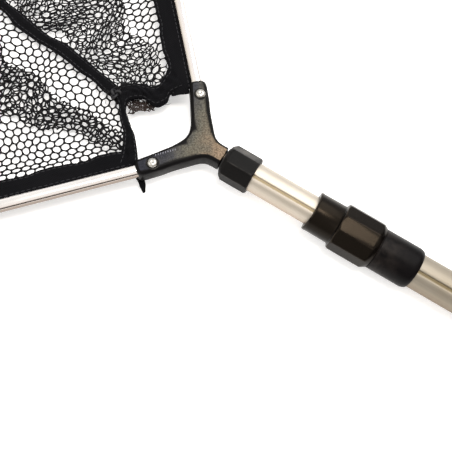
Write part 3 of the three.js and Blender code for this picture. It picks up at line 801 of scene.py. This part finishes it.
PITCH = 6.3
CELL_A = PITCH / math.sqrt(3)
def lattice(origin, direction, radius, seed):
    e1 = np.array(direction) / np.linalg.norm(direction)
    e2 = np.array([-e1[1], e1[0]])
    n = int(radius / PITCH) + 1
    i, j = np.meshgrid(np.arange(-n, n + 1), np.arange(-int(n * 1.2), int(n * 1.2) + 1))
    i, j = i.ravel(), j.ravel()
    u = i * PITCH + (j % 2) * PITCH / 2
    v = j * PITCH * math.sqrt(3) / 2
    def corner(k):
        a = math.radians(k)
        return np.stack([u + CELL_A * math.cos(a), v + CELL_A * math.sin(a)], 1)
    t, tr, br, tl = corner(90), corner(30), corner(-30), corner(150)
    E = np.concatenate([np.stack([tr, br], 1), np.stack([t, tr], 1), np.stack([tl, t], 1)])
    key = np.round(E.reshape(-1, 2) * 50).astype(np.int64)
    uniq, inv = np.unique(key, axis=0, return_inverse=True)
    inv = inv.reshape(-1)
    uv = np.zeros((len(uniq), 2))
    uv[inv] = E.reshape(-1, 2)
    r = np.random.default_rng(seed)
    uv = uv + r.normal(0, 0.11, uv.shape)
    P = np.asarray(origin) + uv[:, :1] * e1 + uv[:, 1:] * e2
    return P, inv.reshape(-1, 2), uv

def net_panel(name, node, side, apex, hem_angle, psi1, delta, seed, gathered):
    A = np.array(apex)
    hem_dir = np.array([-CH, side * SH])
    P, E, uv = lattice(arm(120, -15, side), hem_dir, 340, seed)
    wob = [smooth_noise(seed + k, w) for k, w in enumerate((58, 58, 17, 17))]
    wz = [smooth_noise(seed + 10, 46), smooth_noise(seed + 11, 15)]
    # the pleat's own edges aren't quite straight
    bend = smooth_noise(seed + 20, 70, 1)
    def psi_of(Q):
        d = Q - A
        ang = np.degrees(np.arctan2(d[:, 1], d[:, 0])) % 360
        return (hem_angle - ang) if side < 0 else (ang - hem_angle), np.linalg.norm(d, axis=1)
    def place(Q):
        psi, rr = psi_of(Q)
        wl = psi1 + 1.6 * bend(rr)
        seg = np.where(psi <= wl, 0, np.where(psi <= wl + delta, 1, 2))
        plan = np.where(seg == 0, psi, np.where(seg == 1, 2 * wl - psi, psi - 2 * delta))
        ang = np.radians(hem_angle - plan if side < 0 else hem_angle + plan)
        XY = A + rr[:, None] * np.stack([np.cos(ang), np.sin(ang)], 1)
        # height of each layer, rounding over the fold
        s1 = np.radians(psi - wl) * rr
        s2 = np.radians(psi - wl - delta) * rr
        lay = 1.7 / (1 + np.exp(-s1 / 1.6)) + 1.7 / (1 + np.exp(-s2 / 1.6))
        push = np.exp(-(s1 / 5) ** 2) * 1.0 + np.exp(-(s2 / 5) ** 2) * 1.0
        hemd = np.array([0.0])
        w = np.stack([wob[0](*Q.T) * 1.7 + wob[2](*Q.T) * 0.28, wob[1](*Q.T) * 1.7 + wob[3](*Q.T) * 0.28], 1)
        fade = np.clip(distance_to(HEM_LINE[side], XY) / 26, 0, 1)[:, None]
        XY = XY + w * fade
        return XY, lay, push, seg
    XY, lay, push, seg = place(P)
    region = half_region(side, -14.5)
    keepv = inside(region, XY)
    # layers under the pleat end where the sheet itself ends
    psi, rr = psi_of(P)
    sane = (psi > -40) & (psi < 150 + 2 * delta) & (rr > 3)
    keepv &= sane
    keep = keepv[E[:, 0]] & keepv[E[:, 1]]
    E = E[keep]
    # strands
    K, S = 5, 5
    a, b = P[E[:, 0]], P[E[:, 1]]
    ts = np.linspace(0, 1, K)
    Q = (a[:, None, :] * (1 - ts)[None, :, None] + b[:, None, :] * ts[None, :, None])
    flat = Q.reshape(-1, 2)
    XY, lay, push, seg = place(flat)
    dh = distance_to(HEM_LINE[side], XY)
    ds = distance_to(SEAM_C, XY)
    dc = distance_to(mid, XY)
    z = FLOOR + 1.0 + lay * np.clip(dh / 18, 0.15, 1) + push * 0.9 + 0.55 * (wz[0](*flat.T) + 1.2) + 0.35 * (wz[1](*flat.T) + 1)
    z = z + (-3.6 - z) * np.exp(-(np.maximum(dh - 4.5, 0) / 9.5) ** 1.5)
    z = np.where(dh < 4.5, np.maximum(z, -3.9), z)
    z = z + (-12.0 - z) * np.exp(-(np.maximum(ds - 3.0, 0) / 12.0) ** 1.6) * 0.9
    z = z + (-9.6 - z) * np.exp(-(np.maximum(dc - 5.0, 0) / 11.0) ** 1.6)
    z = np.maximum(z, FLOOR + 0.75)
    C = np.column_stack([XY, z]).reshape(len(E), K, 3)
    ok = (np.abs(np.diff(C[:, :, :2], axis=1)).max(axis=(1, 2)) < 4.5)
    C = C[ok]
    m = len(C)
    T_ = np.gradient(C, axis=1)
    T_ /= np.linalg.norm(T_, axis=2, keepdims=True) + 1e-9
    up = np.array([0.0, 0.0, 1.0])
    N_ = np.cross(T_, up)
    N_ /= np.linalg.norm(N_, axis=2, keepdims=True) + 1e-9
    B_ = np.cross(N_, T_)
    th = np.arange(S) / S * 2 * np.pi + 0.4
    rad = 0.53 + 0.36 * np.abs(2 * ts - 1) ** 2.4
    rr_ = np.random.default_rng(seed + 5).uniform(0.9, 1.12, (m, 1))
    psm, _r = psi_of((a[ok] + b[ok]) / 2)
    pl = np.where(psm <= psi1, psm, np.where(psm <= psi1 + delta, 2 * psi1 - psm, psm - 2 * delta))
    slackness = np.where((pl > psi1 - delta - 1) & (pl < psi1 + 1), gathered, 1.14)
    rad = rad[None, :] * rr_ * slackness[:, None]
    ringp = C[:, :, None, :] + (N_[:, :, None, :] * np.cos(th)[None, None, :, None] + B_[:, :, None, :] * np.sin(th)[None, None, :, None] * 0.8) * rad[:, :, None, None]
    V = ringp.reshape(-1, 3)
    base = (np.arange(m) * K * S)[:, None, None]
    k_, s_ = np.meshgrid(np.arange(K - 1), np.arange(S), indexing="ij")
    q = np.stack([k_ * S + s_, k_ * S + (s_ + 1) % S, (k_ + 1) * S + (s_ + 1) % S, (k_ + 1) * S + s_], -1).reshape(1, -1, 4)
    F = (base + q).reshape(-1, 4)
    me = bpy.data.meshes.new(name)
    Vw = W(V)
    me.vertices.add(len(Vw))
    me.vertices.foreach_set("co", Vw.astype(np.float32).ravel())
    me.loops.add(F.size)
    me.loops.foreach_set("vertex_index", F.astype(np.int32).ravel())
    me.polygons.add(len(F))
    me.polygons.foreach_set("loop_start", (np.arange(len(F)) * 4).astype(np.int32))
    me.polygons.foreach_set("loop_total", np.full(len(F), 4, np.int32))
    me.update(calc_edges=True)
    me.validate()
    me.shade_smooth()
    me.materials.append(M_NET)
    ob = bpy.data.objects.new(name, me)
    bpy.context.scene.collection.objects.link(ob)
    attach(ob, "head")
    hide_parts(node)
    used = uv[np.unique(E[ok])]
    size = used.max(0) - used.min(0)
    cells = m / 3.0
    flat_area = cells * PITCH * PITCH * math.sqrt(3) / 2
    print("net", name, "strands", m, "faces", len(F), "flat", size, "area", flat_area, flat_area / (size[0] * size[1]))
    return ob, size, flat_area

HEM_LINE = {}
for side in (-1, 1):
    HEM_LINE[side] = np.array([frame_at(s, -14.5, side) for s in list(np.arange(40, S_T, 8)) + list(np.linspace(S_T, S_T + HALF_ARC, 24)) + [HALF_LEN + 40]])
net_l, size_l, area_l = net_panel("net_left", "net_panel_left", -1, (-6.5, -18.5), 228.0, 50.3, 15.8, 11, 0.99)
net_r, size_r, area_r = net_panel("net_right", "net_panel_right", 1, (40.4, -2.0), 132.0, 40.9, 16.5, 29, 0.83)

# ---------------------------------------------------------------- tapes
def ribbon(name, A, B, material, node=(), thick=1.1, arch=0.0, cols=10, seed=1, wrinkle=0.35, waves=14.0, along=None):
    """closed band between two edge lines (N,3); arch raises its middle; UV in mm"""
    A, B = np.asarray(A, float), np.asarray(B, float)
    n = len(A)
    wz = smooth_noise(seed, waves)
    ez = smooth_noise(seed + 3, waves * 0.6)
    V, UV = [], []
    length = np.concatenate([[0], np.cumsum(np.linalg.norm(np.diff((A + B) / 2, axis=0), axis=1))])
    per = 2 * cols
    for i in range(n):
        width = np.linalg.norm(B[i] - A[i])
        top, bot = [], []
        for k in range(cols):
            t = k / (cols - 1)
            p = A[i] * (1 - t) + B[i] * t
            e = 4 * t * (1 - t)
            bulge = arch * math.sqrt(max(e, 0)) + wrinkle * wz(length[i], t * width) * (0.3 + 0.7 * e)
            h = thick * (0.30 + 0.70 * min(1, (min(t, 1 - t) * width / 1.0)))
            if along is not None:
                bulge += along(length[i], t * width, width)
            top.append((p[0], p[1], p[2] + bulge + h / 2))
            bot.append((p[0], p[1], p[2] + bulge - h / 2))
        V += top + bot[::-1]
        UV += [(length[i], k / (cols - 1) * width) for k in range(cols)] + [(length[i], k / (cols - 1) * width) for k in range(cols)][::-1]
    F = []
    for i in range(n - 1):
        for k in range(per):
            l = (k + 1) % per
            F.append((i * per + k, i * per + l, (i + 1) * per + l, (i + 1) * per + k))
    F.append(tuple(range(per))[::-1])
    F.append(tuple(range((n - 1) * per, n * per)))
    return make(name, V, F, material, "head", node, smooth=60, uv=UV)

# hem along the frame: from the tube's slot in to its wavy edge, over the sewn-in turn
st = round_frame(55.5, 3.0, 2.6)
wav1, wav2, drp = smooth_noise(51, 44, 1), smooth_noise(52, 15, 1), smooth_noise(53, 36, 1)
HA_, HB_ = [], []
st = st + [(s, 1, 2 * HALF_LEN - s) for s in (54.6, 53.4, 52.0, 50.6, 49.4)]
steps_in = {54.6: 54.3, 53.4: 52.7, 52.0: 50.9, 50.6: 49.1, 49.4: 47.6}
for s, side, tot in st:
    so = steps_in.get(s, s) if side == 1 else s
    o = frame_at(so, -3.3 if so > 55.4 else float(np.interp(so, [47.6, 49.4, 50.6, 52.0, 53.4, 54.6], [-6.75, -6.4, -6.35, -5.9, -4.7, -3.6])), side)
    i_ = frame_at(s, -18.7 + 0.75 * wav1(tot) + 0.3 * wav2(tot), side)
    HA_.append((o[0], o[1], 0.4))
    HB_.append((i_[0], i_[1], -3.4 + 0.55 * drp(tot)))
def hem_folds(x, y, width):
    # the turned-in edge is a second thickness, with a stitched dip either side of it
    r = 0.0
    r += 0.55 * (1 / (1 + math.exp(-(y - (width - 7.6)) / 0.35)))
    r -= 0.32 * math.exp(-((y - (width - 2.0)) / 0.7) ** 2)
    r -= 0.32 * math.exp(-((y - 2.6) / 0.7) ** 2)
    return r
hem = ribbon("hem_band", HA_, HB_, M_TAPE, ("hem_tape",), thick=1.3, arch=0.5, cols=26, seed=61, wrinkle=0.22, waves=16, along=hem_folds)

# seam tape, folded over on itself
sc = catmull([p for p in SEAM], 16)
tg = np.gradient(sc[:, :2], axis=0)
tg /= np.linalg.norm(tg, axis=1)[:, None]
nn_ = np.stack([-tg[:, 1], tg[:, 0]], 1)
wv = smooth_noise(71, 30, 1)
ln = np.concatenate([[0], np.cumsum(np.linalg.norm(np.diff(sc[:, :2], axis=0), axis=1))])
SA = np.column_stack([sc[:, :2] + nn_ * (4.9 + 0.7 * wv(ln))[:, None], sc[:, 2] - 1.0])
SB = np.column_stack([sc[:, :2] - nn_ * (4.9 + 0.7 * wv(ln + 40))[:, None], sc[:, 2] - 1.0])
def seam_folds(x, y, width):
    return 0.7 / (1 + math.exp(-(y - width * 0.45) / 0.35)) - 0.3 * math.exp(-((y - width * 0.8) / 0.6) ** 2)
seam = ribbon("seam_band", SA, SB, M_TAPE, ("seam_tape",), thick=1.3, arch=0.9, cols=18, seed=77, wrinkle=0.5, waves=12, along=seam_folds)

# slack hem across the yoke
def slack_folds(x, y, width):
    return 0.9 * math.exp(-((y - width * 0.38 - 1.2 * math.sin(x / 9.0)) / 1.5) ** 2) - 0.5 * math.exp(-((y - width * 0.68) / 1.1) ** 2)
slack = ribbon("hem_slack", ea, eb, M_TAPE, ("hem_crotch",), thick=1.5, arch=2.6, cols=22, seed=83, wrinkle=0.75, waves=9.5, along=slack_folds)

# the loose end below the left arm
t0 = catmull([(-46.5, -37.0, -6.2), (-38.5, -38.6, -8.2), (-32.2, -41.2, -8.5), (-28.6, -44.2, -9.0), (-25.3, -47.6, -9.9)], 8)
tw = np.interp(np.arange(len(t0)), [0, len(t0) * 0.7, len(t0) - 1], [2.6, 2.3, 0.9])
TA = np.column_stack([t0[:, 0] - 0.6 * tw, t0[:, 1] - 0.8 * tw, t0[:, 2]])
TB = np.column_stack([t0[:, 0] + 0.6 * tw, t0[:, 1] + 0.8 * tw, t0[:, 2]])
tail = ribbon("hem_loose_end", TA, TB, M_TAPE, ("hem_tail",), thick=1.1, arch=0.3, cols=12, seed=91, wrinkle=0.3, waves=6)

# ---------------------------------------------------------------- sewing
def threads(name, lines, radius, sides=6, material=None):
    V, F = [], []
    for line in lines:
        C = np.asarray(line, float)
        T_ = np.gradient(C, axis=0)
        T_ /= np.linalg.norm(T_, axis=1)[:, None] + 1e-9
        ref = np.array([0, 0, 1.0]) if abs(T_[0, 2]) < 0.9 else np.array([1.0, 0, 0])
        b0 = len(V)
        for i in range(len(C)):
            N_ = np.cross(T_[i], ref)
            N_ /= np.linalg.norm(N_) + 1e-9
            B_ = np.cross(N_, T_[i])
            r = radius * (0.55 if i in (0, len(C) - 1) else 1.0)
            for k in range(sides):
                a = 2 * math.pi * k / sides
                V.append(tuple(C[i] + (N_ * math.cos(a) + B_ * math.sin(a)) * r))
        for i in range(len(C) - 1):
            for k in range(sides):
                l = (k + 1) % sides
                F.append((b0 + i * sides + k, b0 + i * sides + l, b0 + (i + 1) * sides + l, b0 + (i + 1) * sides + k))
        F.append(tuple(range(b0, b0 + sides))[::-1])
        F.append(tuple(range(b0 + (len(C) - 1) * sides, b0 + len(C) * sides)))
    return make(name, V, F, material or M_THREAD, "head", (), smooth=60)

def top_surface(ob):
    """height finder on a finished piece, in mm from the apex"""
    from mathutils.bvhtree import BVHTree
    dg = bpy.context.evaluated_depsgraph_get()
    me = ob.data
    tree = BVHTree.FromPolygons([v.co[:] for v in me.vertices], [p.vertices[:] for p in me.polygons])
    mw = ob.matrix_world
    def z_at(x, y):
        p = W((x, y, 60))
        hit = tree.ray_cast(mw.inverted() @ Vector(p), Vector((0, 0, -1)))
        return None if hit[0] is None else ((mw @ hit[0]).z - Z0) * 1000
    return z_at

def stitch_row(path, z_at, length=2.7, gap=1.1, lift=0.08, sag=0.16):
    """a row of lock stitches that dip into the cloth at each end"""
    path = np.asarray(path, float)[:, :2]
    d = np.concatenate([[0], np.cumsum(np.linalg.norm(np.diff(path, axis=0), axis=1))])
    out, s = [], 1.0
    while s + length < d[-1]:
        pts = []
        for k in range(5):
            x = np.interp(s + length * k / 4, d, path[:, 0])
            y = np.interp(s + length * k / 4, d, path[:, 1])
            z = z_at(x, y)
            if z is None:
                break
            pts.append((x, y, z + lift - sag * (2 * abs(k / 4 - 0.5)) ** 4))
        if len(pts) == 5:
            out.append(pts)
        s += length + gap
    return out

zh = top_surface(hem)
row1 = [frame_at(s, -5.9, side) for s, side, _ in st]
row2 = [tuple(np.array(a[:2]) * 0.13 + np.array(b[:2]) * 0.87) for a, b in zip(HA_, HB_)]
hs = threads("hem_stitches", stitch_row(row1, zh) + stitch_row(row2, zh), 0.24)
zs = top_surface(seam)
ss = threads("seam_stitches", stitch_row(SA * 0.2 + SB * 0.8, zs) + stitch_row(SA * 0.8 + SB * 0.2, zs), 0.22)
zc = top_surface(slack)
cs = threads("slack_stitches", stitch_row(ea * 0.86 + eb * 0.14, zc, 2.4, 1.2) + stitch_row(ea * 0.2 + eb * 0.8, zc, 2.4, 1.2), 0.24)

# the knot that gathers seam, pleats and hem, and the ends it leaves
tk = np.linspace(0, 2 * np.pi, 90)
kx, ky, kz = np.sin(tk) + 2 * np.sin(2 * tk), np.cos(tk) - 2 * np.cos(2 * tk), -np.sin(3 * tk)
knot = np.column_stack([-83.0 + 1.25 * kx, 4.6 + 1.25 * ky, -6.6 + 1.5 * kz])
kn = threads("gather_knot", [knot], 1.0, 10)
scrap = []
sa, sb_, sc_, sd = (np.array(p) for p in ((-75.5, 8.0), (-57.5, 15.8), (-53.6, 9.9), (-66.6, -2.6)))
fz = smooth_noise(131, 5.0)
fw = smooth_noise(132, 4.0)
def scrap_at(u, v):
    p = (sa * (1 - u) + sb_ * u) * (1 - v) + (sd * (1 - u) + sc_ * u) * v
    belly = math.sin(math.pi * u)
    p = p + np.array([0.9 * fw(u * 12, v * 9), 0.9 * fw(v * 11 + 7, u * 10)]) + (sa + sb_ - sc_ - sd) * 0.07 * belly * v
    return (p[0], p[1], -9.9 + 1.6 * v - 1.0 * v * belly + 0.6 * fz(u * 12, v * 10))
for k in range(30):
    scrap.append([scrap_at(k / 29 + 0.022 * math.sin(4 * math.pi * t * 2 + k * math.pi), t) for t in np.linspace(0, 1, 26)])
for k in range(22):
    scrap.append([scrap_at(t, k / 21 + 0.028 * math.sin(4 * math.pi * t * 3 + k * math.pi)) for t in np.linspace(0, 1, 32)])
M_SCRAP = plastic("mat_fine_mesh", (0.010, 0.006, 0.005), (0.045, 0.026, 0.021), 0.5, 2500.0, bump=0.5, spec=0.3)
scrap_ob = threads("fine_mesh_scrap", scrap, 0.36, 5, M_SCRAP)
r7 = np.random.default_rng(7)
strays = []
for (x, y, z, ang, ll) in ((-84, 3, -6.2, 215, 9), (-80.5, 6.5, -6.0, 20, 7), (-58, 8.5, -5.0, 330, 6), (-49.6, 15, -3.6, 10, 6.5), (-62, -9, -5.4, 300, 5.5), (-54.6, 27, -2.4, 60, 5), (-36.5, -37, -2.2, 320, 6)):
    a = math.radians(ang)
    pts = []
    for k in range(9):
        t = k / 8
        a2 = a + 0.8 * t * r7.uniform(0.6, 1.2)
        pts.append((x + ll * t * math.cos(a2), y + ll * t * math.sin(a2), z + 0.8 * math.sin(math.pi * t) - 1.8 * t))
    strays.append(pts)
sy = threads("stray_threads", strays, 0.17, 5)

# ---------------------------------------------------------------- lights, floor and world
fl = bpy.data.meshes.new("floor")
fl.from_pydata([(-6, -6, 0), (6, -6, 0), (6, 6, 0), (-6, 6, 0)], [], [(0, 1, 2, 3)])
floor = bpy.data.objects.new("floor", fl)
bpy.context.scene.collection.objects.link(floor)
mf = Mat("mat_floor")
cf = mf.ramp(mf.noise(mf.coords(), 3.0, 4.0), "Fac", [(0.3, (0.90, 0.90, 0.90)), (0.7, (0.93, 0.93, 0.93))])
mf.link(cf, "Color", mf.b, "Base Color")
mf.set(Roughness=0.9, Emission_Strength=0.36)
mf.b.inputs["Emission Color"].default_value = (1, 1, 1, 1)
fl.materials.append(mf.m)

world = bpy.data.worlds.new("studio")
scene.world = world
world.use_nodes = True
wt = world.node_tree
bg = wt.nodes["Background"]
tc = wt.nodes.new("ShaderNodeTexCoord")
sp = wt.nodes.new("ShaderNodeSeparateXYZ")
wt.links.new(tc.outputs["Generated"], sp.inputs["Vector"])
def world_ramp(stops):
    r = wt.nodes.new("ShaderNodeValToRGB")
    e = r.color_ramp.elements
    e[0].position, e[0].color = stops[0][0], (*stops[0][1], 1)
    e[1].position, e[1].color = stops[-1][0], (*stops[-1][1], 1)
    for pos, c in stops[1:-1]:
        k = e.new(pos)
        k.color = (*c, 1)
    wt.links.new(sp.outputs["Z"], r.inputs["Fac"])
    return r
near = world_ramp([(0.0, (0.80, 0.74, 0.66)), (0.24, (0.95, 0.90, 0.82)), (0.5, (1.12, 1.06, 0.97)), (0.75, (1.15, 1.1, 1.04)), (1.0, (1.1, 1.1, 1.1))])
far = world_ramp([(0.0, (1.0, 1.0, 1.0)), (0.3, (1.3, 1.3, 1.3)), (1.0, (1.1, 1.1, 1.1))])
band = world_ramp([(0.0, (0.05, 0.034, 0.028)), (0.30, (0.055, 0.038, 0.03)), (0.42, (0.50, 0.42, 0.36)), (0.52, (1.15, 1.1, 1.06)), (1.0, (1.1, 1.1, 1.1))])
mr = wt.nodes.new("ShaderNodeMapRange")
mr.interpolation_type = "SMOOTHSTEP"
mr.inputs["From Min"].default_value, mr.inputs["From Max"].default_value = -0.15, 0.35
wt.links.new(sp.outputs["Y"], mr.inputs["Value"])
wm = wt.nodes.new("ShaderNodeMix")
wm.data_type = "RGBA"
wt.links.new(mr.outputs["Result"], wm.inputs["Factor"])
wt.links.new(near.outputs["Color"], wm.inputs["A"])
wt.links.new(far.outputs["Color"], wm.inputs["B"])
mx = wt.nodes.new("ShaderNodeMapRange")
mx.interpolation_type = "SMOOTHSTEP"
mx.inputs["From Min"].default_value, mx.inputs["From Max"].default_value = 0.22, 0.45
wt.links.new(sp.outputs["X"], mx.inputs["Value"])
wb = wt.nodes.new("ShaderNodeMix")
wb.data_type = "RGBA"
wt.links.new(mx.outputs["Result"], wb.inputs["Factor"])
wt.links.new(wm.outputs["Result"], wb.inputs["A"])
wt.links.new(band.outputs["Color"], wb.inputs["B"])
wt.links.new(wb.outputs["Result"], bg.inputs["Color"])
bg.inputs["Strength"].default_value = 1.0

def area_light(name, loc, target, size, power, color=(1, 1, 1), size_y=None):
    d = bpy.data.lights.new(name, "AREA")
    d.energy = power
    d.color = color
    d.shape = "RECTANGLE"
    d.size = size
    d.size_y = size_y or size
    o = bpy.data.objects.new(name, d)
    bpy.context.scene.collection.objects.link(o)
    o.location = loc
    o.rotation_euler = (Vector(target) - Vector(loc)).to_track_quat("-Z", "Y").to_euler()
    return o
T = tuple(W((0, 0, 0)))
area_light("key", (T[0] + 0.35, T[1] + 0.9, 1.5), T, 1.4, 22.0, (1.0, 0.985, 0.96))
area_light("top", (T[0] + 0.15, T[1] + 0.03, 1.8), (T[0] + 0.1, T[1], 0), 0.36, 12.0, (1.0, 0.93, 0.84))
area_light("fill", (T[0] - 1.2, T[1] - 0.9, 1.3), T, 1.4, 10.0, (0.97, 0.98, 1.0))
